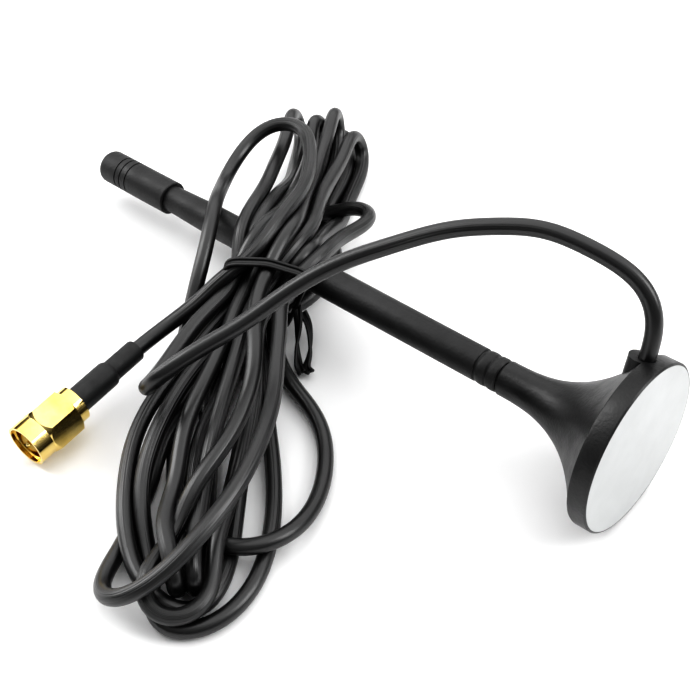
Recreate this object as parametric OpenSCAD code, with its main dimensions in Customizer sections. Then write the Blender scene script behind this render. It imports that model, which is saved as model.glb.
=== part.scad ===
// Small magnetic-mount cellular whip antenna, lying on its side with its coax lead hanked over it.
// The antenna is drawn upright, magnet face at z = 0, and laid down by lie().
// The plug is drawn upright, nut mouth at z = 0, and laid on the table by lay_plug().

/* [Magnetic base] */
// Outside diameter of the base rim
rim_d = 30; // [28:0.5:34]
// Height of the straight band round the rim
rim_h = 3.4; // [3.2:0.1:4]
// Height of the bell from the magnet face to the top of its neck
bell_h = 25.5; // [24:0.5:28]
// Outside diameter of the neck
neck_d = 6.2; // [6:0.1:7]
// Diameter of the pad that covers the magnet
pad_d = 29.2; // [27:0.1:29.2]
// Thickness of the pad
pad_t = 0.3; // [0.2:0.05:0.4]
// Diameter of the magnet
magnet_d = 19.6; // [17:0.2:19.6]

/* [Whip] */
// Length from the magnet face to the tip
total_len = 125; // [122:0.5:136]
// Outside diameter of the whip tube
tube_d = 6.0; // [5.8:0.1:6.1]
// Outside diameter of the tip cap
cap_d = 6.6; // [6.4:0.1:7]
// Length of the tip cap
cap_len = 18.8; // [17:0.1:22]
// Diameter of the whip's mounting thread
stud_d = 3; // [2.5:0.1:3.2]
// Turns in the loading coil
coil_turns = 14; // [6:1:18]

/* [Lead] */
// Outside diameter of the coax lead
lead_d = 2.8; // [2.5:0.1:2.8]
// Height of the tied hank above the table
hank_h = 18; // [17:0.5:20]
// Width of the hank where the tie holds it
waist_w = 14; // [12:0.5:16]
// Width of the twist tie
tie_w = 2.2; // [1.8:0.1:2.6]

/* [Plug] */
// Width of the coupling nut across its flats
nut_af = 8; // [7.9:0.05:8]
// Length of the nut's round mouth, in front of the hexagon
mouth_len = 3.1; // [2.6:0.1:3.3]
// Length of the whole nut
nut_len = 9.5; // [9.3:0.1:9.5]
// Angle of the nut's hexagon about its own axis
nut_turn = 44; // [0:1:59]

/* [Hidden] */

fn_round = 64;
fn_fine = 32;
fit_gap = 0.03;

// Pose of the antenna on the table: the axis dips by lean towards the tip
lean = 4.1;
rim_r = rim_d / 2;
tip_flat_r = cap_d / 2 - 1.4;
rim_step = 0.35;
flare_power = 2.8;
lie_x = (total_len * cos(lean) + (tip_flat_r - rim_r) * sin(lean)) / 2;
lie_z = rim_r * cos(lean) + rim_h * sin(lean);

// Angle about the antenna's axis at which the lead leaves the rim
exit_turn = 20;
exit_h = 3.4;
lead_r = lead_d / 2;
channel_r = lead_r + 0.05;
channel_bend_r = 13;
channel_end_r = 8;
channel_end_h = 5.4;
boss_r = 2.15;
boss_h = 4.25;

// Inside the base
pad_r = pad_d / 2;
magnet_r = magnet_d / 2;
magnet_top = 2.5;
plate_top = 3.0;
chamber_r = 5.6;
chamber_top = 9;
socket_r = 2.3;
socket_base = 10;
stud_r = stud_d / 2 - 0.05;
thread_r = stud_d / 2;
thread_depth = 7.2;
socket_top = bell_h - 0.2;
seal_t = 0.5;
collar_z = bell_h + seal_t;
collar_len = 4.5;

// Inside the whip
tube_r = tube_d / 2;
tube_bore_r = 2.1;
tube_z = collar_z + collar_len;
cap_r = cap_d / 2;
cap_z = total_len - cap_len;
spigot_r = 2.6;
spigot_z = cap_z + 6;
taper_z = cap_z - 12;
rod_r = 0.6;
coil_z = 62;
coil_len = 38;
coil_r = 1.5;
coil_wire_r = 0.3;

// Place of the lead and the plug beside the antenna
layout_at = [-1.75, 0, 0];

// Plug, measured along its axis from the nut's mouth
plug_at = layout_at + [-17.4, -58, 4.55];
plug_yaw = 92.8;
plug_pitch = 3.4;
mouth_r = 3.95;
nut_bore_r = 3.1;
nut_seat_z = 5.3;
nut_rear_r = 2.8;
flange_r = 3.4;
flange_end = 11.5;
tail_end = 17;
tail_r = 1.55;
ferrule_r = 2.15;
ferrule_end = 18.6;
sleeve_step = 19.8;
sleeve_end = 26.4;
sleeve_r = 2.42;
sleeve_thin_r = 2.0;
body_mid_r = 2.72;
body_front_r = 2.95;
body_sleeve_r = 2.3;
dielectric_r = 1.95;
pin_r = 0.46;
ring_z = 6.6;
ring_t = 0.5;

// Route of the lead from inside the base to the top of the hank. The first points follow the
// channel inside the base, from its inner end to the rim; the rest lie in free air.
lead_out_free = [for (p = [
    [59, 6.5, 33], [58, 7.4, 36], [55, 9, 38], [49, 10, 39], [42, 9, 40], [36, 8, 40],
    [31, 4, 40], [26, 0, 39.5], [23, -4, 39], [20, -8, 38], [17, -10, 36], [13, -12, 33],
    [10, -15, 30.5], [7, -19, 27.5], [5, -24, 25], [3, -29, 23], [1, -33, 21.5], [-1, -38, 19.6],
    [-2, -42, 17]
]) layout_at + p];

// Route of the lead from behind the heat-shrink sleeve into the side of the hank
lead_plug_free = [for (p = [
    [-18.2, -26, 7], [-17.2, -21, 8.4], [-16, -17, 9.8], [-14.8, -13.5, 11.6]
]) layout_at + p];

// Hank: two lobes joined at the waist that the tie holds
tie_at = layout_at + [-11, -9, 0];
hank_turn = 31;
top_lobe_y = 43;
top_lobe_r = 18;
low_lobe_y = -46;
low_lobe_r = 19;
waist_h = 16;
tie_t = 0.7;
groove_w = tie_w + 0.2;

function unit(v) = v / norm(v);
function mid_dir(p, i) = unit(p[min(i + 1, len(p) - 1)] - p[max(i - 1, 0)]);
function side_dirs(t, n, i = 0) =
    i == len(t) ? [] :
    let (m = unit(n - (n * t[i]) * t[i]))
    concat([m], side_dirs(t, m, i + 1));

// Tube of the given radius along a list of points, with flat ends
module sweep(points, radius, sides = 8) {
    t = [for (i = [0:len(points) - 1]) mid_dir(points, i)];
    n = side_dirs(t, [0.2, 0.9, 0.1]);
    rings = [
        for (i = [0:len(points) - 1])
        for (k = [0:sides - 1])
        points[i] + radius * (cos(360 * k / sides) * n[i] + sin(360 * k / sides) * cross(t[i], n[i]))
    ];
    walls = [
        for (i = [0:len(points) - 2])
        for (k = [0:sides - 1])
        let (a = i * sides + k, b = i * sides + (k + 1) % sides)
        each [[a, b + sides, b], [a, a + sides, b + sides]]
    ];
    start = [for (k = [0:sides - 1]) k];
    finish = [for (k = [sides - 1:-1:0]) (len(points) - 1) * sides + k];
    polyhedron(rings, concat(walls, [start, finish]));
}

// A point of the upright antenna, in the part's own frame once it lies down
function lain(p) = [
    lie_x - p[0] * sin(lean) - p[2] * cos(lean),
    p[1],
    lie_z + p[0] * cos(lean) - p[2] * sin(lean)
];
function at_exit(r, h) = lain([r * cos(exit_turn), r * sin(exit_turn), h]);

// A point on the plug's axis, in the part's own frame
function on_plug(h) = plug_at + h * [
    cos(plug_pitch) * cos(plug_yaw),
    cos(plug_pitch) * sin(plug_yaw),
    sin(plug_pitch)
];

module lie() {
    translate([lie_x, 0, lie_z]) rotate([0, -90 - lean, 0]) children();
}

module lay_plug() {
    translate(plug_at) rotate([0, 90 - plug_pitch, plug_yaw]) children();
}

// Solid or hollow round bar from z0 to z1
module bar(r, z0, z1, bore = 0) {
    translate([0, 0, z0]) difference() {
        cylinder(r = r, h = z1 - z0, $fn = fn_round);
        if (bore > 0) {
            translate([0, 0, -1]) cylinder(r = bore, h = z1 - z0 + 2, $fn = fn_round);
        }
    }
}

// Radial cylinder that leaves the antenna's axis at the lead's exit
module exit_bar(r, from_r, to_r, h) {
    rotate([0, 0, exit_turn]) translate([from_r, 0, h]) rotate([0, 90, 0])
        cylinder(r = r, h = to_r - from_r, $fn = fn_fine);
}

// Concave flare of the bell: the radius falls steeply above the rim and runs out into the neck
function flare(k) = [
    for (i = [0:k])
    let (s = pow(i / k, 1.6))
    [
        neck_d / 2 + (rim_r - rim_step - neck_d / 2) * pow(1 - s, flare_power),
        rim_h + (bell_h - rim_h) * s
    ]
];

// --- Base ---

module base_shell() {
    lip = 0.4;
    color("#1c1c1e") lie() difference() {
        union() {
            rotate_extrude($fn = 96) polygon(concat(
                [[0, 0], [rim_r - 0.25, 0], [rim_r, 0.25], [rim_r, rim_h - lip], [rim_r - 0.2, rim_h]],
                flare(24),
                [[0, bell_h]]
            ));
            intersection() {
                exit_bar(boss_r, 8, rim_r, boss_h);
                bar(rim_r - 0.15, 1, bell_h);
            }
        }
        bar(pad_r + fit_gap, -1, pad_t);
        bar(magnet_r, -1, plate_top);
        bar(chamber_r, -1, chamber_top);
        bar(socket_r, -1, bell_h + 1);
        exit_bar(channel_r, channel_bend_r, rim_r + 2, exit_h);
        lead_channel();
    }
}

// Sloping part of the lead's channel, from the bend to the chamber
module lead_channel() {
    run = channel_bend_r - channel_end_r;
    rise = channel_end_h - exit_h;
    rotate([0, 0, exit_turn]) translate([channel_bend_r, 0, exit_h]) {
        rotate([0, -90 + atan(rise / run), 0])
            cylinder(r = channel_r, h = norm([run, rise]) + 3, $fn = fn_fine);
        sphere(r = channel_r + 0.05, $fn = fn_fine);
    }
}

module bottom_pad() {
    color("#eef1f1") lie() bar(pad_r, 0, pad_t);
}

module magnet() {
    color("#4b4d52") lie() bar(magnet_r, pad_t, magnet_top, 2.2);
}

module ground_plate() {
    color("#b9bcc0") lie() bar(magnet_r, magnet_top, plate_top, 2.2);
}

module feed_socket() {
    color("#c9a24b") lie() difference() {
        union() {
            bar(socket_r, socket_base, socket_top);
            bar(1.1, chamber_top - 0.8, socket_base);
        }
        translate([0, 0, socket_top - thread_depth]) cylinder(r = thread_r, h = thread_depth + 1, $fn = fn_round);
    }
}

// Bare inner conductor, from the end of the jacket up to the socket's solder post
module lead_core() {
    color("#c87941") sweep([
        at_exit(4.6, 6.3), at_exit(3.2, 6.5), at_exit(1.8, 6.8), at_exit(0.7, 7.1), at_exit(0, 7.5)
    ], 0.25);
}

// Braid gathered into a pigtail and laid down on the ground plate
module lead_braid() {
    color("#a9adb0") sweep([
        lain([4.2, 2.5, 6.2]), lain([3.6, 2.9, 5.7]), lain([3.1, 3.5, 4.8]), lain([2.5, 4.1, 4.0]),
        lain([1.4, 4.3, 3.8])
    ], 0.4);
}

module solder_joint() {
    color("#d5d7d9") lie() rotate_extrude($fn = fn_fine)
        polygon([[0, 7.5], [0.8, 7.5], [1.1, 7.8], [1.1, 8.2], [0, 8.2]]);
}

module ground_tab() {
    color("#b9bcc0") lie() translate([-0.5, 3.4, plate_top]) cube([2.6, 1.6, 0.4]);
}

// --- Whip ---

module seal_ring() {
    color("#0c0c0c") lie() bar(2.5, bell_h, collar_z, thread_r + 0.1);
}

module whip_stud() {
    color("#c9a24b") lie() union() {
        bar(stud_r, bell_h - 6.2, collar_z);
        bar(2.2, collar_z, collar_z + 1.2);
        bar(1.5, collar_z + 1.2, collar_z + 6);
    }
}

module grip_collar() {
    r = tube_r + 0.05;
    groove = 0.3;
    color("#1e1e20") lie() translate([0, 0, collar_z]) difference() {
        rotate_extrude($fn = 96) polygon([
            [1.5, 0], [r - groove, 0], [r - 0.08, 0.25], [r, 0.7], [r - 0.02, 1.4], [r - 0.1, 1.75],
            [r - groove, 1.95], [r - groove, 2.15], [r - 0.08, 2.35], [r, 2.8], [r - 0.02, 3.5],
            [r - 0.1, 3.9], [r - groove, 4.15], [r - groove, collar_len], [1.5, collar_len]
        ]);
        bar(2.2, -1, 1.2);
    }
}

module whip_tube() {
    color("#232326") lie() rotate_extrude($fn = 96) polygon([
        [tube_bore_r, tube_z], [tube_r - 0.12, tube_z], [tube_r, tube_z + 0.12], [tube_r, taper_z],
        [spigot_r, cap_z - 0.6], [spigot_r, spigot_z], [tube_bore_r, spigot_z]
    ]);
}

module radiator_rod() {
    color("#c87941") lie() bar(rod_r, collar_z + 6, coil_z);
}

module coil_former() {
    color("#e8e2d2") lie() union() {
        bar(tube_bore_r - fit_gap, coil_z, coil_z + 2);
        bar(coil_r - coil_wire_r - 0.05, coil_z + 2, coil_z + coil_len + 6);
        bar(tube_bore_r - fit_gap, coil_z + coil_len + 4, coil_z + coil_len + 6);
    }
}

module radiator_coil() {
    steps = coil_turns * 12;
    color("#c87941") sweep([
        for (i = [0:steps])
        lain([
            coil_r * cos(30 * i),
            coil_r * sin(30 * i),
            coil_z + 2.6 + (coil_len + 0.6) * i / steps
        ])
    ], coil_wire_r - 0.02, 6);
}

module tip_cap() {
    r = cap_r;
    edge = 1.4;
    grooves = [total_len - 8.3, total_len - 6.7, total_len - 5.3];
    color("#29292c") lie() difference() {
        rotate_extrude($fn = 96) polygon(concat(
            [[0, cap_z], [r - 0.15, cap_z], [r, cap_z + 0.15]],
            [for (a = [0:15:90]) [r - edge + edge * cos(a), total_len - edge + edge * sin(a)]],
            [[0, total_len]]
        ));
        bar(spigot_r + fit_gap, cap_z - 1, spigot_z);
        bar(tube_bore_r, cap_z, total_len - 4);
        for (z = grooves) {
            translate([0, 0, z]) rotate_extrude($fn = 96) translate([r - 0.16, 0]) square([1, 0.3]);
        }
    }
}

// --- Lead ---

module lead_out() {
    inside = [
        at_exit(4.6, 6.3), at_exit(channel_end_r, channel_end_h), at_exit(10.5, 4.4),
        at_exit(channel_bend_r, exit_h), at_exit(rim_r, exit_h)
    ];
    color("#17181a") sweep(concat(inside, lead_out_free), lead_r);
}

// Plan of the hank, with its waist at the origin and its length along y
module hank_outline() {
    translate([0, top_lobe_y]) circle(r = top_lobe_r, $fn = fn_round);
    translate([0, low_lobe_y]) circle(r = low_lobe_r, $fn = fn_round);
    polygon([
        [-top_lobe_r * 0.96, top_lobe_y - 5], [-waist_w / 2, 4], [-waist_w / 2, -4],
        [-low_lobe_r * 0.97, low_lobe_y + 5], [low_lobe_r * 0.97, low_lobe_y + 5],
        [waist_w / 2, -4], [waist_w / 2, 4], [top_lobe_r * 0.96, top_lobe_y - 5]
    ]);
}

module lead_hank() {
    tunnel_r = tube_r + 0.5;
    color("#17181a") difference() {
        translate(tie_at) rotate([0, 0, hank_turn]) linear_extrude(hank_h) hank_outline();
        lie() bar(tunnel_r, 30, 120);
        translate(tie_at) rotate([0, 0, hank_turn]) tie_groove();
    }
}

// Slot round the waist that the tie lies in
module tie_groove() {
    difference() {
        translate([-waist_w, -groove_w / 2, -1]) cube([2 * waist_w, groove_w, hank_h + 2]);
        translate([-waist_w / 2 + tie_t, -waist_w, tie_t]) cube([waist_w - 2 * tie_t, 2 * waist_w, waist_h - tie_t]);
    }
}

module lead_plug_side() {
    color("#17181a") sweep(concat([on_plug(tail_end), on_plug(22), on_plug(sleeve_end)], lead_plug_free), lead_r);
}

module twist_tie() {
    tail = 15;
    color("#101012") translate(tie_at) rotate([0, 0, hank_turn]) {
        difference() {
            translate([-waist_w / 2, -tie_w / 2, 0]) cube([waist_w, tie_w, waist_h + tie_t]);
            translate([-waist_w / 2 + tie_t, -tie_w, tie_t])
                cube([waist_w - 2 * tie_t, 2 * tie_w, waist_h - tie_t]);
        }
        for (s = [0, 1]) {
            translate([waist_w / 2, -tie_w / 2 - 3.2 * s, 0]) rotate([0, 0, -62 + 12 * s])
                cube([tail, tie_w - 0.4, tie_t]);
        }
    }
}

// --- Plug ---

module heat_shrink() {
    color("#202124") lay_plug() rotate_extrude($fn = fn_round) polygon([
        [ferrule_r, flange_end], [sleeve_r, flange_end], [sleeve_r, sleeve_step - 0.6],
        [sleeve_r - 0.1, sleeve_step - 0.1], [sleeve_thin_r, sleeve_step + 0.4],
        [sleeve_thin_r, sleeve_end - 0.3], [sleeve_thin_r - 0.15, sleeve_end],
        [lead_r + 0.03, sleeve_end], [lead_r + 0.03, ferrule_end + 0.6], [ferrule_r, ferrule_end]
    ]);
}

module crimp_ferrule() {
    color("#c9a24b") lay_plug() bar(ferrule_r, flange_end, ferrule_end, tail_r);
}

module plug_body() {
    color("#e0b84f") lay_plug() difference() {
        union() {
            bar(body_sleeve_r, 2.6, 4.2);
            bar(body_front_r, 4.2, nut_seat_z - 0.1);
            bar(body_mid_r, nut_seat_z - 0.1, nut_len + 0.1);
            bar(flange_r, nut_len + 0.1, flange_end);
            bar(tail_r, flange_end, tail_end);
        }
        bar(dielectric_r, 2, nut_len);
        bar(pin_r, 2, nut_len + 0.5);
        difference() {
            bar(body_mid_r + 1, ring_z, ring_z + ring_t);
            bar(2.4, ring_z, ring_z + ring_t);
        }
    }
}

// Open ring that keeps the nut on the plug's body
module snap_ring() {
    color("#c9a24b") lay_plug() difference() {
        bar(2.9, ring_z + 0.02, ring_z + ring_t - 0.02, 2.4);
        translate([0, -0.5, ring_z - 1]) cube([4, 1, 3]);
    }
}

module coupling_nut() {
    corner_r = nut_af / sqrt(3);
    cut = 0.45;
    color("#e8c05a") lay_plug() rotate([0, 0, nut_turn]) difference() {
        union() {
            bar(mouth_r, 0, mouth_len + 0.2);
            intersection() {
                translate([0, 0, mouth_len]) cylinder(r = corner_r, h = nut_len - mouth_len, $fn = 6);
                rotate_extrude($fn = fn_round) polygon([
                    [0, mouth_len], [nut_af / 2 - 0.05, mouth_len], [corner_r, mouth_len + 2 * cut],
                    [corner_r, nut_len - cut], [nut_af / 2 + 0.1, nut_len], [0, nut_len]
                ]);
            }
        }
        bar(nut_bore_r, -1, nut_seat_z);
        bar(nut_rear_r, 0, nut_len + 1);
        bar(3.0, ring_z - 0.1, ring_z + ring_t + 0.1);
        bar(nut_bore_r + 0.4, -1, 0.8);
    }
}

module nut_gasket() {
    color("#c8551e") lay_plug() bar(3.0, 3.5, 4.2, body_sleeve_r);
}

module dielectric() {
    color("#f4efe2") lay_plug() bar(dielectric_r, 2.6, nut_len, pin_r);
}

module centre_pin() {
    color("#e0b84f") lay_plug() union() {
        bar(pin_r, 0.6, nut_len + 0.5);
        translate([0, 0, 0.2]) cylinder(r1 = 0.2, r2 = pin_r, h = 0.4, $fn = fn_fine);
    }
}

base_shell();
bottom_pad();
magnet();
ground_plate();
feed_socket();
lead_core();
lead_braid();
solder_joint();
ground_tab();
seal_ring();
whip_stud();
grip_collar();
whip_tube();
radiator_rod();
radiator_coil();
coil_former();
tip_cap();
lead_out();
lead_hank();
lead_plug_side();
twist_tie();
heat_shrink();
crimp_ferrule();
plug_body();
snap_ring();
coupling_nut();
nut_gasket();
dielectric();
centre_pin();
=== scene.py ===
"""Looks of a magnetic-mount cellular antenna, on its side with its lead tied in a hank.

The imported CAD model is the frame. This script adds the lead as one continuous cord, the twist
tie that holds it, and a procedural material on every piece.
Lengths are written in millimetres and turned into metres where Blender objects are made.
"""

import math

import bpy
import numpy as np
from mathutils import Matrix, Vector


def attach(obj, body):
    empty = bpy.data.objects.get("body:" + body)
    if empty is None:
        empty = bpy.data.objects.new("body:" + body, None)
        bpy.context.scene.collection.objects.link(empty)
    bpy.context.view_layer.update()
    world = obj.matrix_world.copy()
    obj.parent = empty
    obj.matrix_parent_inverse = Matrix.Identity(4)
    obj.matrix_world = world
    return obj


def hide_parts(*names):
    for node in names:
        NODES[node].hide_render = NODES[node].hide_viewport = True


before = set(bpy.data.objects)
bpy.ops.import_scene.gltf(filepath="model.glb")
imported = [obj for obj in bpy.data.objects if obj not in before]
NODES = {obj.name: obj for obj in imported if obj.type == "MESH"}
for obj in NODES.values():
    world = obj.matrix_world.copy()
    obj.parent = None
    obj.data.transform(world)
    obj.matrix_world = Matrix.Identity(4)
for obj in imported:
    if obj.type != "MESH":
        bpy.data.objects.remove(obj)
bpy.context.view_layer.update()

MM = 0.001
LEAD_D = 2.8
LEAD_R = LEAD_D / 2

# ---------------------------------------------------------------------------------------------
# Camera
# ---------------------------------------------------------------------------------------------

CAMERA_AT = (111.45, -125.9, 173.54)
CAMERA_LOOK = (-0.4492, 0.5174, -0.7284)
CAMERA_LENS = 66.86
CAMERA_SENSOR = 36


def add_camera():
    data = bpy.data.cameras.new("camera")
    data.lens = CAMERA_LENS
    data.sensor_width = CAMERA_SENSOR
    data.clip_start = 0.01
    data.clip_end = 20
    camera = bpy.data.objects.new("camera", data)
    camera.location = Vector(CAMERA_AT) * MM
    camera.rotation_euler = Vector(CAMERA_LOOK).to_track_quat("-Z", "Y").to_euler()
    bpy.context.scene.collection.objects.link(camera)
    bpy.context.scene.camera = camera


add_camera()

# ---------------------------------------------------------------------------------------------
# Where the antenna and the plug lie, as in the CAD model
# ---------------------------------------------------------------------------------------------

# The antenna's lean, and where the middle of its magnet face is.
LEAN = math.radians(4.1)
LIE_X = 61.872
LIE_Z = 15.205
# The side of the base that the lead leaves by.
EXIT_TURN = math.radians(20)
# How far all that isn't the antenna is moved as one, and where the plug lies.
LAYOUT_AT = np.array([-1.75, 0, 0])
PLUG_AT = LAYOUT_AT + (-17.4, -58, 4.55)
PLUG_YAW = math.radians(92.8)
PLUG_PITCH = math.radians(3.4)
PLUG_AXIS = np.array([
    math.cos(PLUG_PITCH) * math.cos(PLUG_YAW),
    math.cos(PLUG_PITCH) * math.sin(PLUG_YAW),
    math.sin(PLUG_PITCH),
])


def lain(x, y, z):
    """A point of the upright antenna, where it is once the antenna lies down."""
    return np.array([
        LIE_X - x * math.sin(LEAN) - z * math.cos(LEAN),
        y,
        LIE_Z + x * math.cos(LEAN) - z * math.sin(LEAN),
    ])


def at_exit(radius, height):
    """A point on the side the lead leaves by, from the antenna's axis and its magnet face."""
    return lain(radius * math.cos(EXIT_TURN), radius * math.sin(EXIT_TURN), height)


def on_plug(height):
    """A point on the plug's axis, from its mouth."""
    return PLUG_AT + height * PLUG_AXIS


# ---------------------------------------------------------------------------------------------
# Route of the lead, from the base to the plug
# ---------------------------------------------------------------------------------------------

# Inside the base, from the solder joint towards the hole the lead leaves by.
LEAD_INSIDE = [at_exit(4.6, 6.3), at_exit(8, 5.4), at_exit(10.5, 4.4)]

# In the hole, where the lead is held: how far out, and at what height.
EXIT_PLACES = (13, 15, 17.4)
EXIT_HEIGHT = 3.4

# The arch from the base over to the hank.
LEAD_OUT_FREE = [
    (59, 6.5, 33), (58, 7.4, 36), (55, 9, 38), (49, 10, 39), (42, 9, 40), (36, 8, 40),
    (31, 4, 40), (26, 0, 39.5), (23, -4, 39), (20, -8, 38), (17, -10, 36), (13, -12, 33),
    (10, -15, 30.5), (7, -19, 27.5), (5, -24, 25), (3, -29, 23), (1, -33, 21.5), (-1, -38, 19.6),
]

# Where the lead turns back under the arch, on its way to the tie.
HAIRPIN = [
    (-2.4, -40.6, 17.8), (-4.2, -41.8, 15.2), (-6, -40.2, 12.6), (-8, -35.5, 10.8),
    (-10.5, -28, 10.6), (-12.5, -20, 11),
]

# From the tie to the plug, and where the lead is held in the plug.
LEAD_PLUG_FREE = [(-14.8, -13.5, 11.6), (-16, -17, 9.8), (-17.2, -21, 8.4), (-18.2, -26, 7)]
PLUG_PLACES = (26.4, 22, 17)

# The hank is tied at its waist.
TIE_AT = LAYOUT_AT + (-11, -9, 0)
TIE_TURN = math.radians(31)
ACROSS = np.array([math.cos(TIE_TURN), math.sin(TIE_TURN), 0])
ALONG = np.array([-math.sin(TIE_TURN), math.cos(TIE_TURN), 0])

# Heights of the rows of places in the tie, from the table up. A place is (row, how far across).
ROWS = (3.2, 5.9, 8.6, 11.4, 14.2)

# Each turn: place in the tie, guides of its top loop, place in the tie, guides of its low loop.
TURNS = [
    (
        (3, -3.8),
        [(-17.2, 0.2, 14), (-26, 18.5, 8.8), (-34, 32, 6.8), (-38.4, 38.6, 6.4), (-40, 40.4, 4),
         (-37.6, 37.8, 1.8), (-32, 31, 1.8), (-24, 19, 6.5), (-13.8, 1, 14)],
        (3, -0.8),
        [(-3, -27, 11.5), (3.7, -41.7, 10), (11, -50, 8), (17.5, -57, 7), (22.2, -61.2, 5.8),
         (22.8, -61.8, 3), (19, -58, 1.6), (13, -51, 1.8), (5, -40, 3), (-5, -22, 4.5)],
    ),
    (
        (1, -1.5),
        [(-18.4, 1, 14), (-29, 19, 7), (-36.6, 30.4, 2.2), (-41.3, 36.4, 1.8), (-44.2, 38.8, 4),
         (-42.8, 36, 7), (-38, 28, 8.6), (-32.4, 18.6, 10.4), (-26.4, 9.4, 12.4), (-20.8, 0.4, 14)],
        (2, -3.4),
        [(-10, -25, 9), (-7.5, -37, 7.8), (-3.8, -46, 6.8), (3.3, -54.5, 5.4), (11, -60.9, 3.8),
         (16, -63.4, 2.8), (20, -64.2, 2.2), (23.4, -62.8, 2), (25, -60, 2.2), (25, -56, 2.5),
         (22, -50, 3), (18, -44.5, 3.5), (11.5, -36, 4.5), (3, -24, 5.5)],
    ),
    (
        (1, 1.7),
        [(-8.6, 1, 13.9), (-11.5, 7.5, 10), (-15.5, 18, 4.5), (-19.8, 26, 2.4), (-23.9, 33.4, 1.8),
         (-26.6, 38.6, 2.2), (-28.4, 41.2, 4.8), (-28, 38.8, 7.6), (-25.6, 32.9, 9.2),
         (-20.9, 23.4, 11), (-12.4, 6.6, 14.6), (-8.3, 1, 14.6)],
        (3, 2.2),
        [(-2, -22, 12), (5, -34, 11), (10, -42, 9.5), (15.9, -50.9, 7.3), (21, -56.5, 6.2),
         (24.4, -59.6, 4.6), (23, -58.4, 1.7), (17, -52, 1.6), (8, -41, 2), (-8, -24, 4)],
    ),
    (
        (1, -4.2),
        [(-18, -7, 4.5), (-23, 0, 2.6), (-24.5, 8, 2.6), (-22, 15.5, 3.5), (-17.9, 20, 5.5),
         (-15, 22.9, 6.5), (-11.5, 23.8, 7.5), (-8.9, 20.5, 8.5), (-8.2, 15.6, 9.8),
         (-6.9, 8.5, 12.2), (-5, 1.2, 14.6)],
        (3.5, 6),
        [(-0.8, -12.6, 14), (4.8, -19.8, 14.4), (11.8, -28, 14.4), (17.1, -37.4, 14),
         (20.8, -48.2, 13.5), (21.8, -58.3, 12.5), (20.5, -65.6, 9.5), (17, -68.8, 6.8),
         (13.5, -69.3, 4.6), (10.7, -66.5, 3.6), (9, -61.5, 2.6), (4, -52, 1.8), (-3, -38, 2.2),
         (-9, -24, 3.2)],
    ),
    (
        (0, -2.95),
        [(-16, 3, 1.8), (-26, 20, 1.8), (-35, 35, 1.8), (-39, 40, 1.8), (-37, 43, 1.8),
         (-32, 39.5, 1.8), (-22, 22, 1.8), (-12, 3, 1.8)],
        (0, 0),
        [(-5, -14, 2.4), (5.7, -24.4, 2.5), (9.7, -27.7, 2.2), (16, -33.4, 1.8),
         (21.7, -39.4, 1.5), (27.8, -48.7, 1.4), (29.6, -56.5, 1.4), (28.4, -62, 1.4),
         (25.3, -65, 1.4), (21, -64.6, 1.4), (16, -60.5, 1.8), (10.3, -57.5, 4.2),
         (3.9, -51.5, 6.6), (-0.5, -44.2, 8.5), (-6, -30, 9)],
    ),
    (
        (2, -0.4),
        [(-11.4, 1, 13.9), (-20.2, 18.2, 6.5), (-27.9, 31, 2.4), (-32.5, 38, 1.9), (-35.6, 42.6, 3),
         (-36.8, 43.4, 6), (-35.2, 40.4, 8.6), (-32, 34.8, 9.4), (-27.2, 26.4, 9.9),
         (-21, 17.5, 12), (-14, 6.3, 15.6), (-10.6, 1, 16.4)],
        (4, 2.7),
        [(-5, -15, 15), (3.5, -23.8, 14.8), (7.8, -29.8, 13.4), (11.3, -38.3, 12),
         (12.6, -46.1, 10.5), (14, -53.5, 9), (16.5, -60.1, 7), (19, -64.8, 5.4),
         (22.4, -66.8, 4.6), (25.8, -64.8, 4.8), (26.2, -60, 4.5), (23.4, -54.9, 4.5),
         (18.5, -47, 5), (12, -37, 6.5), (1, -22, 8)],
    ),
    (
        (2, 2.6),
        [(-8.5, -3.5, 5), (-11.6, 2, 2.6), (-15.4, 8, 2.6), (-16.4, 12, 4), (-13.8, 14, 5.6),
         (-10.4, 11.6, 5.6), (-8.4, 6.2, 4.2), (-6.2, 0.5, 2.8)],
        (0, 2.95),
        [(-4, -11, 2.2), (-0.1, -14.7, 2), (4.8, -16.8, 1.6), (13, -19.3, 1.4), (21.2, -26.1, 1.8),
         (26.5, -35.8, 3), (27, -43.4, 4.2), (24.3, -48.8, 4.2), (19.8, -50.9, 2.4),
         (13, -50, 1.4), (5, -45.5, 1.4), (-3, -39, 1.4), (-10, -31, 2.5), (-15, -24, 4.5),
         (-18.5, -18, 8)],
    ),
]

# The last loop, on top of the hank and to its left.
LEFT_LOOP = [
    (-21.3, -12.4, 11.5), (-24.8, -6.5, 14), (-28.8, -1.2, 14.5), (-34.5, 6, 11),
    (-38.6, 12.3, 9.4), (-40.2, 18, 10.6), (-39.8, 23.4, 12.6), (-36.8, 27.8, 13.6),
    (-31.4, 27.2, 14), (-27, 23.4, 14.2), (-23, 19.2, 14.8), (-19.7, 14.5, 15.4),
    (-16, 8, 16.6), (-13.9, 2.4, 17.4), (-13.2, -4, 16.6),
]
LAST_PLACE = (4.07, -2.6)

# How strongly the settled lead is drawn back to its guides.
HOLD_FULL = 1.0
HOLD_FREE = 0.4
HOLD_HAIRPIN = 0.1
HOLD_TIE = 0.06
HOLD_LOOP = 0.04
HOLD_PLUG_SIDE = 0.2

# The antenna as the lead feels it: a rod from its tip to its magnet face, thicker at the cap.
WHIP_TIP = lain(0, 0, 125)
WHIP_FOOT = lain(0, 0, 0)
WHIP_R = 3.0
CAP_R = 3.3
CAP_SHARE = 0.15

# Gaps the settled lead keeps: from the antenna, from the table, and between its own middles.
CLEARANCE = 0.08
TABLE_GAP = 0.02
STRAND_GAP = LEAD_D + 0.06
# Stretches of the lead at least this far apart along it can't pass through each other.
SPAN_APART = 8.0
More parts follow.
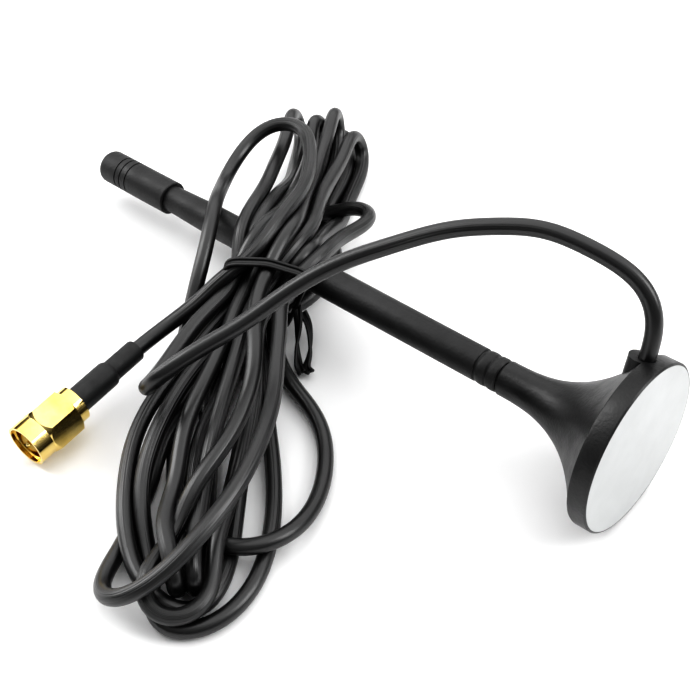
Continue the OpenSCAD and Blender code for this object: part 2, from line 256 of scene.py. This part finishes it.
# Pairs of points this near to touching are watched, and found anew after that many rounds.
WATCH_GAP = 2
WATCH_EVERY = 12
# How much of the way apart two strands are pushed in a round, shared out among a point's pairs.
PUSH_SHARE = 1.3

# Bends: how springy the lead is, the radius it is opened towards, and over how many points.
BEND_STIFFNESS = 0.75
BEND_R = 7.8
BEND_REACHES = (2, 4)

# Levels of settling: spacing of the points, rounds, fall in a round, share of the hold.
SETTLE = ((4.0, 220, 0.0, 0.5), (2.5, 320, 0.0, 0.5), (1.6, 460, 0.01, 0.35))
# The points of the settled lead that make up the arch.
ARCH = (4, 56)


def in_tie(row, across):
    return TIE_AT + ACROSS * across + np.array([0, 0, np.interp(row, range(len(ROWS)), ROWS)])


def laid(points):
    """Points of the route, moved to where the lead is laid out."""
    return [LAYOUT_AT + p for p in points]


def lead_guides():
    """Points the lead is drawn to, in order from the base to the plug, and how strongly."""
    points = [at_exit(r, EXIT_HEIGHT) for r in EXIT_PLACES]
    hold = [HOLD_FULL] * len(EXIT_PLACES)
    for part, strength in ((LEAD_OUT_FREE, HOLD_FREE), (HAIRPIN, HOLD_HAIRPIN)):
        points += laid(part)
        hold += [strength] * len(part)
    for first, top, second, low in TURNS:
        for place, loop in ((first, top), (second, low)):
            points += [in_tie(*place), *laid(loop)]
            hold += [HOLD_TIE] + [HOLD_LOOP] * len(loop)
    points += [*laid(LEFT_LOOP), in_tie(*LAST_PLACE), *laid(LEAD_PLUG_FREE)]
    hold += [HOLD_HAIRPIN] * len(LEFT_LOOP) + [HOLD_TIE] + [HOLD_PLUG_SIDE] * len(LEAD_PLUG_FREE)
    points += [on_plug(h) for h in PLUG_PLACES]
    hold += [HOLD_FULL] * len(PLUG_PLACES)
    return np.array(points, float), np.array(hold)


def steps_along(points):
    """How far along the line each of its points is."""
    return np.concatenate([[0], np.cumsum(np.linalg.norm(np.diff(points, axis=0), axis=1))])


def smooth_through(points, between=8):
    """A natural cubic curve through the points, and each new point's place among the old ones."""
    t = np.concatenate([[0], np.cumsum(np.linalg.norm(np.diff(points, axis=0), axis=1) ** 0.7)])
    h = np.diff(t)
    n = len(points)
    system = np.eye(n)
    right = np.zeros((n, 3))
    for i in range(1, n - 1):
        ahead = (points[i + 1] - points[i]) / h[i]
        behind = (points[i] - points[i - 1]) / h[i - 1]
        system[i, i - 1:i + 2] = h[i - 1], 2 * (h[i - 1] + h[i]), h[i]
        right[i] = 6 * (ahead - behind)
    curl = np.linalg.solve(system, right)
    place = np.arange((n - 1) * between + 1) / between
    i = np.minimum(place.astype(int), n - 2)
    h = h[i][:, None]
    b = (place - i)[:, None] * h
    a = h - b
    curve = (
        (curl[i] * a**3 + curl[i + 1] * b**3) / (6 * h)
        + (points[i] / h - curl[i] * h / 6) * a
        + (points[i + 1] / h - curl[i + 1] * h / 6) * b
    )
    return curve, place


def evenly(points, values, step):
    """The line at an even spacing near step, values carried along, and the exact spacing."""
    s = steps_along(points)
    count = int(round(s[-1] / step)) + 1
    at = np.linspace(0, s[-1], count)
    line = np.stack([np.interp(at, s, points[:, k]) for k in range(3)], 1)
    return line, np.interp(at, s, values), s[-1] / (count - 1)


def push_off_rod(points, start, end, radius):
    """Moves points that lie within radius of the line from start to end out to its surface."""
    along = end - start
    t = np.clip((points - start) @ along / (along @ along), 0, 1)
    away = points - (start + t[:, None] * along)
    distance = np.linalg.norm(away, axis=1)
    inside = distance < radius
    scale = (radius - distance[inside]) / np.maximum(distance[inside], 1e-6)
    points[inside] += away[inside] * scale[:, None]


def smooth_bends(points, stiffness):
    """Moves the points as a springy rod would, without turning or shifting it as a whole."""
    bend = points[:-2] - 2 * points[1:-1] + points[2:]
    force = np.zeros_like(points)
    force[:-2] -= bend
    force[1:-1] += 2 * bend
    force[2:] -= bend
    points += stiffness / 6 * force


def open_bends(points, spacing, reach, radius):
    """Spreads points that are closer together than on an arc of that radius."""
    arc = min(reach * spacing / radius, math.pi)
    chord = 2 * radius * math.sin(arc / 2)
    between = points[reach:] - points[:-reach]
    length = np.linalg.norm(between, axis=1)
    push = between * (np.clip(chord - length, 0, None) / np.maximum(length, 1e-6) * 0.25)[:, None]
    points[reach:] += push
    points[:-reach] -= push


def keep_spacing(points, spacing):
    """Keeps neighbours that far apart, every second pair first."""
    for first in (0, 1):
        a = np.arange(first, len(points) - 1, 2)
        between = points[a + 1] - points[a]
        length = np.linalg.norm(between, axis=1)
        pull = between * ((length - spacing) / np.maximum(length, 1e-6) * 0.5)[:, None]
        points[a] += pull
        points[a + 1] -= pull


def close_pairs(points, spacing):
    """Pairs of points on different stretches of the lead that may touch soon."""
    square = ((points[:, None, :] - points[None, :, :]) ** 2).sum(-1)
    apart = max(2, math.ceil(SPAN_APART / spacing))
    return np.where(np.triu(square < (STRAND_GAP + WATCH_GAP) ** 2, apart))


def push_apart(points, pairs):
    """Moves strands apart that have come into each other."""
    i, j = pairs
    between = points[j] - points[i]
    length = np.linalg.norm(between, axis=1)
    close = length < STRAND_GAP
    i, j, between, length = i[close], j[close], between[close], length[close]
    push = between * ((STRAND_GAP - length) / np.maximum(length, 1e-6) * 0.5)[:, None]
    count = np.bincount(i, minlength=len(points)) + np.bincount(j, minlength=len(points))
    for k in range(3):
        move = np.bincount(j, push[:, k], len(points)) - np.bincount(i, push[:, k], len(points))
        points[:, k] += move / np.maximum(count, 1) * PUSH_SHARE


def settle(points, guide, hold, spacing, rounds, gravity):
    """Lets the lead lie: it keeps its length, stays off itself, the whip and the table."""
    ends = points[:3].copy(), points[-3:].copy()
    cap_end = WHIP_TIP + (WHIP_FOOT - WHIP_TIP) * CAP_SHARE
    for step in range(rounds):
        if step % WATCH_EVERY == 0:
            pairs = close_pairs(points, spacing)
        points += hold[:, None] * (guide - points)
        points[:, 2] -= gravity
        smooth_bends(points, BEND_STIFFNESS)
        for reach in BEND_REACHES:
            open_bends(points, spacing, reach, BEND_R)
        keep_spacing(points, spacing)
        push_apart(points, pairs)
        push_off_rod(points, WHIP_TIP, WHIP_FOOT, WHIP_R + LEAD_R + CLEARANCE)
        push_off_rod(points, WHIP_TIP, cap_end, CAP_R + LEAD_R + CLEARANCE)
        points[:, 2] = np.maximum(points[:, 2], LEAD_R + TABLE_GAP)
        points[:3], points[-3:] = ends


def even_out_depth(line, first, last):
    """Evens out how far a stretch is from the camera, which leaves its outline as it is."""
    eye = np.array(CAMERA_AT)
    ray = line[first:last] - eye
    depth = np.linalg.norm(ray, axis=1)
    along = steps_along(line[first:last])
    s = along / along[-1]
    slope = np.gradient(depth, s)
    ease = s * s * (3 - 2 * s)
    ends = depth[0] * (1 - ease) + depth[-1] * ease
    ends += slope[0] * s * (1 - s) ** 2 - slope[-1] * s * s * (1 - s)
    bulge = (s * (1 - s)) ** 2
    wanted = ends + bulge * (bulge @ (depth - ends)) / (bulge @ bulge)
    line[first:last] = eye + ray * (wanted / depth)[:, None]


def lay_lead():
    """The lead's centreline from the base to the plug, settled in steps from coarse to fine."""
    points, hold = lead_guides()
    curve, place = smooth_through(points)
    hold = np.interp(place, range(len(points)), hold)
    shift = np.zeros((2, 3))
    for step, rounds, gravity, grip in SETTLE:
        guide, held, spacing = evenly(curve, hold, step)
        here, there = np.linspace(0, 1, len(guide)), np.linspace(0, 1, len(shift))
        line = guide + np.stack([np.interp(here, there, shift[:, k]) for k in range(3)], 1)
        settle(line, guide, held * grip, spacing, rounds, gravity)
        shift = line - guide
    even_out_depth(line, *ARCH)
    return line


# ---------------------------------------------------------------------------------------------
# Lead: one cord from the solder joint to the plug
# ---------------------------------------------------------------------------------------------

LEAD_SIDES = 20
LEAD_BETWEEN = 2
LEAD_SMOOTHING = 6


def soften(line, passes):
    """Evens out the last small kinks, with both ends held."""
    for _ in range(passes):
        line[1:-1] += 0.25 * (line[:-2] - 2 * line[1:-1] + line[2:])
    return line


def carried_frames(line):
    """Directions across the line at each point, carried along without twist."""
    ahead = np.gradient(line, axis=0)
    ahead /= np.linalg.norm(ahead, axis=1)[:, None]
    side = np.cross(ahead[0], (0, 0, 1))
    side /= np.linalg.norm(side)
    sides = []
    for direction in ahead:
        side = side - direction * (side @ direction)
        side /= np.linalg.norm(side)
        sides.append(side)
    sides = np.array(sides)
    return sides, np.cross(ahead, sides)


def tube_mesh(name, line, profile):
    """A skin over the line. profile gives the section's points as (side, up), in order round it."""
    side, up = carried_frames(line)
    rings = (
        line[:, None]
        + side[:, None] * profile[None, :, :1]
        + up[:, None] * profile[None, :, 1:]
    )
    return skin(name, rings, steps_along(line))


def skin(name, rings, along, closed=False):
    """A mesh over rings of points, with UVs: u round the ring and v the distance along, in mm."""
    count, sides = rings.shape[:2]
    faces, loops = [], []
    for i in range(count if closed else count - 1):
        j = (i + 1) % count
        v0, v1 = along[i], along[j] if j else along[-1] + along[1]
        for k in range(sides):
            m = (k + 1) % sides
            u0, u1 = k / sides, (k + 1) / sides
            faces.append((i * sides + k, i * sides + m, j * sides + m, j * sides + k))
            loops += [(u0, v0), (u1, v0), (u1, v1), (u0, v1)]
    if not closed:
        for ring, order in ((0, -1), (count - 1, 1)):
            faces.append(tuple(range(ring * sides, (ring + 1) * sides))[::order])
            loops += [(k / sides, along[ring]) for k in range(sides)]
    mesh = bpy.data.meshes.new(name)
    mesh.from_pydata((rings.reshape(-1, 3) * MM).tolist(), [], faces)
    uv = mesh.uv_layers.new(name="UVMap")
    uv.data.foreach_set("uv", np.array(loops, np.float32).ravel())
    mesh.polygons.foreach_set("use_smooth", [True] * len(faces))
    mesh.update()
    piece = bpy.data.objects.new(name, mesh)
    bpy.context.scene.collection.objects.link(piece)
    return piece


def circle(radius, sides):
    """Points round a circle, in order."""
    turn = np.arange(sides) / sides * 2 * math.pi
    return radius * np.stack([np.cos(turn), np.sin(turn)], 1)


settled = soften(lay_lead(), LEAD_SMOOTHING)
lead_line, _ = smooth_through(np.concatenate([LEAD_INSIDE, settled]), LEAD_BETWEEN)
lead = tube_mesh("lead", lead_line, circle(LEAD_R, LEAD_SIDES))
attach(lead, "base")
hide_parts("lead_out", "lead_hank", "lead_plug_side")

# ---------------------------------------------------------------------------------------------
# Twist tie
# ---------------------------------------------------------------------------------------------

# Its width, its thickness, and the radius of its two wires with their cover.
TIE_W = 2.2
TIE_T = 0.34
TIE_WIRE_R = 0.36
TAIL_W = TIE_W * 0.8
# How far across and how far up a strand can be and still be held.
TIE_REACH = 8.5
TIE_HEIGHT = 20.0
# The band keeps these gaps from the strands and the table.
TIE_GAP = 0.12
TIE_TABLE_GAP = 0.03
TIE_POINTS = 120
TIE_RIM_POINTS = 24
TIE_SMOOTHING = 8
# How far the band strays along the hank: once round it, and in three waves.
TIE_SLIP = (0.35, 0.12)
TIE_SLIP_START = 0.6


def ribbon_profile(width):
    """Section of the tie: a flat ribbon with a rounded ridge along each edge over its wires."""
    half, edge = width / 2, TIE_T / 2
    ridge = half - TIE_WIRE_R
    arc = [math.radians(a) for a in range(-60, 241, 30)]
    right = [(ridge + TIE_WIRE_R * math.cos(a), TIE_WIRE_R * math.sin(a)) for a in arc]
    left = [(-x, -y) for x, y in right]
    middle = ridge - TIE_WIRE_R
    profile = right + [(middle * 0.4, edge), (-middle * 0.4, edge)]
    profile += left + [(-middle * 0.4, -edge), (middle * 0.4, -edge)]
    return np.array(profile)


def hull(points):
    """The convex outline of points in a plane, anticlockwise."""
    points = sorted(map(tuple, points))
    outline = []
    for run in (points, points[::-1]):
        chain = []
        for p in run:
            while len(chain) > 1 and (
                (chain[-1][0] - chain[-2][0]) * (p[1] - chain[-2][1])
                <= (chain[-1][1] - chain[-2][1]) * (p[0] - chain[-2][0])
            ):
                chain.pop()
            chain.append(p)
        outline += chain[:-1]
    return np.array(outline)


def places_in_tie(line):
    """Where the lead crosses the plane of the tie, as (across, up)."""
    off = (line - TIE_AT) @ ALONG
    i = np.where(off[:-1] * off[1:] <= 0)[0]
    share = off[i] / (off[i] - off[i + 1])
    crossing = line[i] + (line[i + 1] - line[i]) * share[:, None]
    across = (crossing - TIE_AT) @ ACROSS
    held = (np.abs(across) < TIE_REACH) & (crossing[:, 2] < TIE_HEIGHT)
    return np.stack([across[held], crossing[held, 2]], 1)


def tie_loop():
    """The tie's centreline: a tight loop round every strand it holds."""
    rim = circle(LEAD_R + TIE_WIRE_R + TIE_GAP, TIE_RIM_POINTS)
    outline = hull((places_in_tie(settled)[:, None] + rim[None]).reshape(-1, 2))
    outline = np.concatenate([outline, outline[:1]])
    step = steps_along(outline)[-1] / TIE_POINTS
    loop, _, _ = evenly(np.pad(outline, ((0, 0), (0, 1))), outline[:, 0], step)
    loop = loop[:-1, :2]
    for _ in range(TIE_SMOOTHING):
        loop += 0.25 * (np.roll(loop, 1, 0) - 2 * loop + np.roll(loop, -1, 0))
    loop[:, 1] = np.maximum(loop[:, 1], TIE_WIRE_R + TIE_TABLE_GAP)
    return loop


def add_tie_band():
    """The part of the tie that goes round the hank."""
    loop = tie_loop()
    ahead = np.roll(loop, -1, 0) - np.roll(loop, 1, 0)
    ahead /= np.linalg.norm(ahead, axis=1)[:, None]
    out = np.stack([ahead[:, 1], -ahead[:, 0]], 1)
    profile = ribbon_profile(TIE_W)
    turn = np.arange(len(loop)) / len(loop) * 2 * math.pi
    slip = TIE_SLIP[0] * np.sin(turn + TIE_SLIP_START) + TIE_SLIP[1] * np.sin(3 * turn)
    flat = loop[:, None] + out[:, None] * profile[None, :, 1:]
    rings = (
        TIE_AT
        + ACROSS * flat[..., :1]
        + np.array([0, 0, 1]) * flat[..., 1:]
        + ALONG * (profile[None, :, :1] + slip[:, None, None])
    )
    along = steps_along(np.concatenate([loop, loop[:1]]))[:-1]
    band = skin("twist_tie_band", rings, along, closed=True)
    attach(band, "base")
    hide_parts("twist_tie")
    return band


# Each tail of the tie: its route from the band to its free end, and its twist in degrees.
TIE_TAILS = [
    (
        "twist_tie_tail_a",
        [(-6.2, -5.2, 6.5), (-4.6, -6.6, 5.2), (-3.4, -8, 3.6), (-2.2, -9.6, 2.2),
         (-0.6, -11.2, 1.4), (1, -12.6, 1.1), (2.4, -13.4, 1.3)],
        200,
    ),
    (
        "twist_tie_tail_b",
        [(-5, -5, 5.4), (-3.2, -5.6, 4.4), (-1.4, -7, 3), (0, -8.6, 2), (1.2, -10.4, 1.4),
         (2.2, -12, 1.2), (3.6, -12.4, 1.5)],
        -160,
    ),
]


def add_tie_tail(name, route, twist):
    """A free end of the tie, twisted along its route."""
    line, _ = smooth_through(np.array(route, float))
    side, up = carried_frames(line)
    profile = ribbon_profile(TAIL_W)
    turn = np.radians(twist) * np.linspace(0, 1, len(line))
    c, s = np.cos(turn)[:, None, None], np.sin(turn)[:, None, None]
    x = profile[None, :, :1] * c - profile[None, :, 1:] * s
    y = profile[None, :, :1] * s + profile[None, :, 1:] * c
    rings = line[:, None] + side[:, None] * x + up[:, None] * y
    tail = skin(name, rings, steps_along(line))
    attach(tail, "base")
    return tail


tie_pieces = [add_tie_band()] + [add_tie_tail(*tail) for tail in TIE_TAILS]

# ---------------------------------------------------------------------------------------------
# Materials
# ---------------------------------------------------------------------------------------------


class Look:
    """One procedural material, built up from noise on the object's own coordinates."""

    def __init__(self, name, metallic=0.0, **sockets):
        self.material = bpy.data.materials.new(name)
        self.material.use_nodes = True
        tree = self.material.node_tree
        self.nodes, self.links = tree.nodes, tree.links
        self.shader = self.nodes["Principled BSDF"]
        self.shader.inputs["Metallic"].default_value = metallic
        for socket, value in sockets.items():
            self.shader.inputs[socket.replace("_", " ")].default_value = value
        self.place = self.nodes.new("ShaderNodeTexCoord")
        self.bumps = None

    def noise(self, scale, detail=3.0, stretch=None, coordinates="Object", rough=0.55):
        """Noise with that many features a metre, which stretch multiplies along each axis."""
        node = self.nodes.new("ShaderNodeTexNoise")
        node.inputs["Scale"].default_value = scale
        node.inputs["Detail"].default_value = detail
        node.inputs["Roughness"].default_value = rough
        source = self.place.outputs[coordinates]
        if stretch:
            mapping = self.nodes.new("ShaderNodeMapping")
            mapping.inputs["Scale"].default_value = stretch
            self.links.new(source, mapping.inputs["Vector"])
            source = mapping.outputs["Vector"]
        self.links.new(source, node.inputs["Vector"])
        return node.outputs["Fac"]

    def ramp(self, value, stops):
        """Colours at places along a value."""
        node = self.nodes.new("ShaderNodeValToRGB")
        elements = node.color_ramp.elements
        while len(elements) < len(stops):
            elements.new(0.5)
        for element, (place, colour) in zip(elements, stops):
            element.position = place
            element.color = (*colour, 1)
        self.links.new(value, node.inputs["Fac"])
        return node.outputs["Color"]

    def spread(self, value, low, high, start=0.3, end=0.7):
        """Maps the value from start to end onto low to high."""
        node = self.nodes.new("ShaderNodeMapRange")
        node.inputs["From Min"].default_value = start
        node.inputs["From Max"].default_value = end
        node.inputs["To Min"].default_value = low
        node.inputs["To Max"].default_value = high
        self.links.new(value, node.inputs["Value"])
        return node.outputs["Result"]

    def times(self, a, b):
        """One value multiplied by the other."""
        node = self.nodes.new("ShaderNodeMath")
        node.operation = "MULTIPLY"
        self.links.new(a, node.inputs[0])
        self.links.new(b, node.inputs[1])
        return node.outputs["Value"]

    def colour(self, value, dark, light, start=0.35, end=0.65):
        """Base colour from dark to light as the value goes from start to end."""
        mixed = self.ramp(value, [(start, dark), (end, light)])
        self.links.new(mixed, self.shader.inputs["Base Color"])

    def rough(self, value, low, high):
        """Roughness from low to high with the value."""
        self.links.new(self.spread(value, low, high), self.shader.inputs["Roughness"])

    def bump(self, value, depth):
        """Adds relief of that depth in millimetres on top of any set before."""
        node = self.nodes.new("ShaderNodeBump")
        node.inputs["Strength"].default_value = 1.0
        node.inputs["Distance"].default_value = depth * MM
        self.links.new(value, node.inputs["Height"])
        if self.bumps:
            self.links.new(self.bumps, node.inputs["Normal"])
        self.bumps = node.outputs["Normal"]
        self.links.new(self.bumps, self.shader.inputs["Normal"])


def grey(value, tint=0.03):
    """A grey, with a share more blue."""
    return (value, value, value * (1 + tint))


def moulded(name, dark, light, low, high, grain=2600, depth=0.02):
    """Moulded plastic: mottled colour, uneven gloss and a fine spark-eroded grain."""
    look = Look(name)
    look.colour(look.noise(90, 4), dark, light)
    look.rough(look.noise(240, 5), low, high)
    look.bump(look.noise(grain, 2), depth)
    return look.material


def turned(name, dark, light, low, high):
    """Turned or plated metal with faint tool marks and small smudges."""
    look = Look(name, metallic=1.0)
    look.colour(look.noise(160, 4), dark, light)
    look.rough(look.noise(420, 5), low, high)
    look.bump(look.noise(3000, 2, stretch=(0.15, 1, 1)), 0.004)
    return look.material


def lead_look():
    """Soft PVC: fine lines from the extruder along the jacket, strong on some stretches only."""
    look = Look("lead_pvc", Specular_IOR_Level=0.7)
    look.colour(look.noise(55, 3), grey(0.0035), grey(0.0085), 0.3, 0.7)
    lines = look.noise(1.0, 2, stretch=(22, 0.006, 1), coordinates="UV", rough=0.6)
    patches = look.noise(1.0, 2, stretch=(0.5, 0.018, 1), coordinates="UV")
    where = look.spread(patches, 0.0, 1.0, 0.45, 0.62)
    look.rough(look.noise(1.0, 4, stretch=(7, 0.04, 1), coordinates="UV"), 0.27, 0.4)
    look.bump(look.times(lines, where), 0.35)
    look.bump(look.noise(2200, 3), 0.012)
    return look.material


def shrink_look():
    """Matte heat-shrink tube with shallow ripples and a fine grain."""
    look = Look("heat_shrink_sleeve")
    look.colour(look.noise(120, 4), grey(0.006), grey(0.012))
    look.rough(look.noise(500, 4), 0.5, 0.66)
    look.bump(look.noise(420, 3, stretch=(1, 0.35, 1)), 0.06)
    look.bump(look.noise(3200, 2), 0.02)
    return look.material


def gold_look():
    """Polished gold plate with light smudges."""
    look = Look("gold_plate", metallic=1.0)
    look.colour(look.noise(210, 4), (0.76, 0.56, 0.17), (0.88, 0.69, 0.28))
    look.rough(look.noise(600, 5), 0.07, 0.16)
    look.bump(look.noise(1500, 3, stretch=(1, 0.12, 1)), 0.006)
    return look.material


def wound(name, dark, light):
    """Bare wire: metal with small spots of tarnish."""
    look = Look(name, metallic=1.0)
    look.colour(look.noise(700, 3), dark, light)
    look.rough(look.noise(900, 3), 0.2, 0.36)
    look.bump(look.noise(2400, 3), 0.008)
    return look.material


def cast(name, dark, light, low, high, grain, depth, metallic=0.0):
    """Cast, pressed or soldered stuff, whose colour and gloss change with its grain."""
    look = Look(name, metallic=metallic)
    look.colour(look.noise(grain / 8, 4), dark, light)
    look.rough(look.noise(grain / 4, 4), low, high)
    look.bump(look.noise(grain, 4), depth)
    return look.material


LOOKS = {
    "shell": moulded("satin_abs", grey(0.004), grey(0.01), 0.34, 0.5, grain=1900, depth=0.05),
    "pad": moulded(
        "white_pad", (0.5, 0.51, 0.51), (0.54, 0.55, 0.55), 0.3, 0.42, grain=900, depth=0.004
    ),
    "magnet": cast("ferrite", grey(0.05), grey(0.09), 0.5, 0.7, 1500, 0.05),
    "steel": turned("zinc_plate", (0.5, 0.51, 0.53), (0.62, 0.62, 0.6), 0.28, 0.45),
    "brass": turned("turned_brass", (0.66, 0.46, 0.18), (0.78, 0.58, 0.27), 0.2, 0.34),
    "copper": wound("bare_copper", (0.66, 0.29, 0.15), (0.8, 0.42, 0.25)),
    "solder": cast(
        "tin_solder", (0.52, 0.52, 0.55), (0.68, 0.68, 0.68), 0.25, 0.42, 2000, 0.03, metallic=1.0
    ),
    "seal": cast("black_rubber", grey(0.005), grey(0.009), 0.6, 0.75, 1800, 0.03),
    "tube": moulded("matte_tube", grey(0.006), grey(0.012), 0.46, 0.6, grain=2100, depth=0.055),
    "former": moulded("natural_nylon", (0.7, 0.67, 0.56), (0.79, 0.76, 0.67), 0.4, 0.52),
    "lead": lead_look(),
    "tie": moulded("tie_pvc", grey(0.003), grey(0.006), 0.34, 0.5, grain=1800, depth=0.03),
    "shrink": shrink_look(),
    "gold": gold_look(),
    "gasket": cast(
        "orange_silicone", (0.48, 0.13, 0.02), (0.62, 0.2, 0.05), 0.4, 0.55, 1600, 0.02
    ),
    "ptfe": cast("white_ptfe", (0.8, 0.77, 0.69), (0.88, 0.86, 0.79), 0.42, 0.55, 1200, 0.02),
}

NODE_SLOTS = {
    "base_shell": "shell",
    "bottom_pad": "pad",
    "magnet": "magnet",
    "ground_plate": "steel",
    "feed_socket": "brass",
    "lead_core": "copper",
    "lead_braid": "solder",
    "solder_joint": "solder",
    "ground_tab": "solder",
    "seal_ring": "seal",
    "whip_stud": "brass",
    "grip_collar": "tube",
    "whip_tube": "tube",
    "radiator_rod": "copper",
    "radiator_coil": "copper",
    "coil_former": "former",
    "tip_cap": "tube",
    "heat_shrink": "shrink",
    "crimp_ferrule": "gold",
    "plug_body": "gold",
    "snap_ring": "steel",
    "coupling_nut": "gold",
    "nut_gasket": "gasket",
    "dielectric": "ptfe",
    "centre_pin": "gold",
}

# An edge turns by more than this, and a facet of a round surface by less.
EDGE_ANGLE = math.radians(28)
EDGE_BREAK = 0.12
WELD_WITHIN = 1e-6


def shade_smooth(piece):
    """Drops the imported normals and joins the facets, so that they can be shaded as one."""
    if piece.data.has_custom_normals:
        piece.data.attributes.remove(piece.data.attributes["custom_normal"])
    piece.data.polygons.foreach_set("use_smooth", [True] * len(piece.data.polygons))
    weld = piece.modifiers.new("weld", "WELD")
    weld.merge_threshold = WELD_WITHIN


def smooth_facets(piece):
    """Lets light run evenly over a turned surface that the frame holds as flat bands."""
    shade_smooth(piece)
    split = piece.modifiers.new("crease", "EDGE_SPLIT")
    split.split_angle = EDGE_ANGLE


def soften_edges(piece):
    """Breaks the sharp edges of a polished part, which catch the light as fine lines."""
    shade_smooth(piece)
    bevel = piece.modifiers.new("edge", "BEVEL")
    bevel.width = EDGE_BREAK * MM
    bevel.segments = 2
    bevel.limit_method = "ANGLE"
    bevel.angle_limit = EDGE_ANGLE
    bevel.harden_normals = True


def give_look(piece, slot):
    """Puts the slot's material on a piece."""
    piece.data.materials.clear()
    piece.data.materials.append(LOOKS[slot])


for node, slot in NODE_SLOTS.items():
    give_look(NODES[node], slot)
for node in ("base_shell", "heat_shrink", "grip_collar", "tip_cap"):
    smooth_facets(NODES[node])
soften_edges(NODES["coupling_nut"])
give_look(lead, "lead")
for piece in tie_pieces:
    give_look(piece, "tie")

# ---------------------------------------------------------------------------------------------
# Floor, light and colour
# ---------------------------------------------------------------------------------------------

# The table in metres: its size, how far out it is flat, how it curves up from there, and how far
# it lies below the object.
FLOOR_SIZE = 6.0
FLOOR_FLAT = 1.5
FLOOR_CURVE = 0.02
FLOOR_DROP = 0.0002
FLOOR_POINTS = 41


def add_floor():
    """A pale table top that curves gently up far from the object."""
    n = FLOOR_POINTS
    steps = np.linspace(-FLOOR_SIZE / 2, FLOOR_SIZE / 2, n)
    points = [
        (x, y, -FLOOR_DROP + FLOOR_CURVE * max(0, math.hypot(x, y) - FLOOR_FLAT) ** 2)
        for x in steps
        for y in steps
    ]
    faces = [
        (i * n + j, (i + 1) * n + j, (i + 1) * n + j + 1, i * n + j + 1)
        for i in range(n - 1)
        for j in range(n - 1)
    ]
    mesh = bpy.data.meshes.new("table_top")
    mesh.from_pydata(points, [], faces)
    mesh.polygons.foreach_set("use_smooth", [True] * len(faces))
    floor = bpy.data.objects.new("table_top", mesh)
    bpy.context.scene.collection.objects.link(floor)
    look = Look("table_white")
    look.colour(look.noise(3, 2), grey(0.93, 0), grey(0.96, 0))
    look.rough(look.noise(40, 3), 0.55, 0.65)
    mesh.materials.append(look.material)


LAMP_AIM = (0, -0.02, 0)


def add_softbox(name, at, size, power):
    """A flat lamp that faces the object, in metres and watts."""
    data = bpy.data.lights.new(name, "AREA")
    data.shape = "RECTANGLE"
    data.size, data.size_y = size
    data.energy = power
    lamp = bpy.data.objects.new(name, data)
    lamp.location = at
    lamp.rotation_euler = (Vector(LAMP_AIM) - Vector(at)).to_track_quat("-Z", "Y").to_euler()
    bpy.context.scene.collection.objects.link(lamp)


# The room: dark up to the first of these heights in the sky, and white from the second up.
ROOM_DARK_TO = 0.12
ROOM_LIGHT_FROM = 0.62
ROOM_STRENGTH = 0.42


def add_studio():
    """A dim room with a bright ceiling, which gloss shows as something dark and something light."""
    world = bpy.data.worlds.new("studio")
    world.use_nodes = True
    nodes, links = world.node_tree.nodes, world.node_tree.links
    place = nodes.new("ShaderNodeTexCoord")
    split = nodes.new("ShaderNodeSeparateXYZ")
    ramp = nodes.new("ShaderNodeValToRGB")
    ramp.color_ramp.elements[0].position = ROOM_DARK_TO
    ramp.color_ramp.elements[0].color = (*grey(0.035), 1)
    ramp.color_ramp.elements[1].position = ROOM_LIGHT_FROM
    ramp.color_ramp.elements[1].color = (1, 1, 1, 1)
    links.new(place.outputs["Generated"], split.inputs["Vector"])
    links.new(split.outputs["Z"], ramp.inputs["Fac"])
    links.new(ramp.outputs["Color"], nodes["Background"].inputs["Color"])
    nodes["Background"].inputs["Strength"].default_value = ROOM_STRENGTH
    bpy.context.scene.world = world


add_floor()
add_softbox("softbox_top", (-0.25, 0.45, 0.95), (2.3, 2.3), 18)
add_softbox("softbox_left", (-0.9, -0.25, 0.55), (0.4, 0.9), 5.5)
add_softbox("softbox_right", (0.75, 0.5, 0.6), (0.4, 0.7), 4.5)
add_studio()
bpy.context.scene.view_settings.view_transform = "Standard"
bpy.context.scene.view_settings.look = "High Contrast"
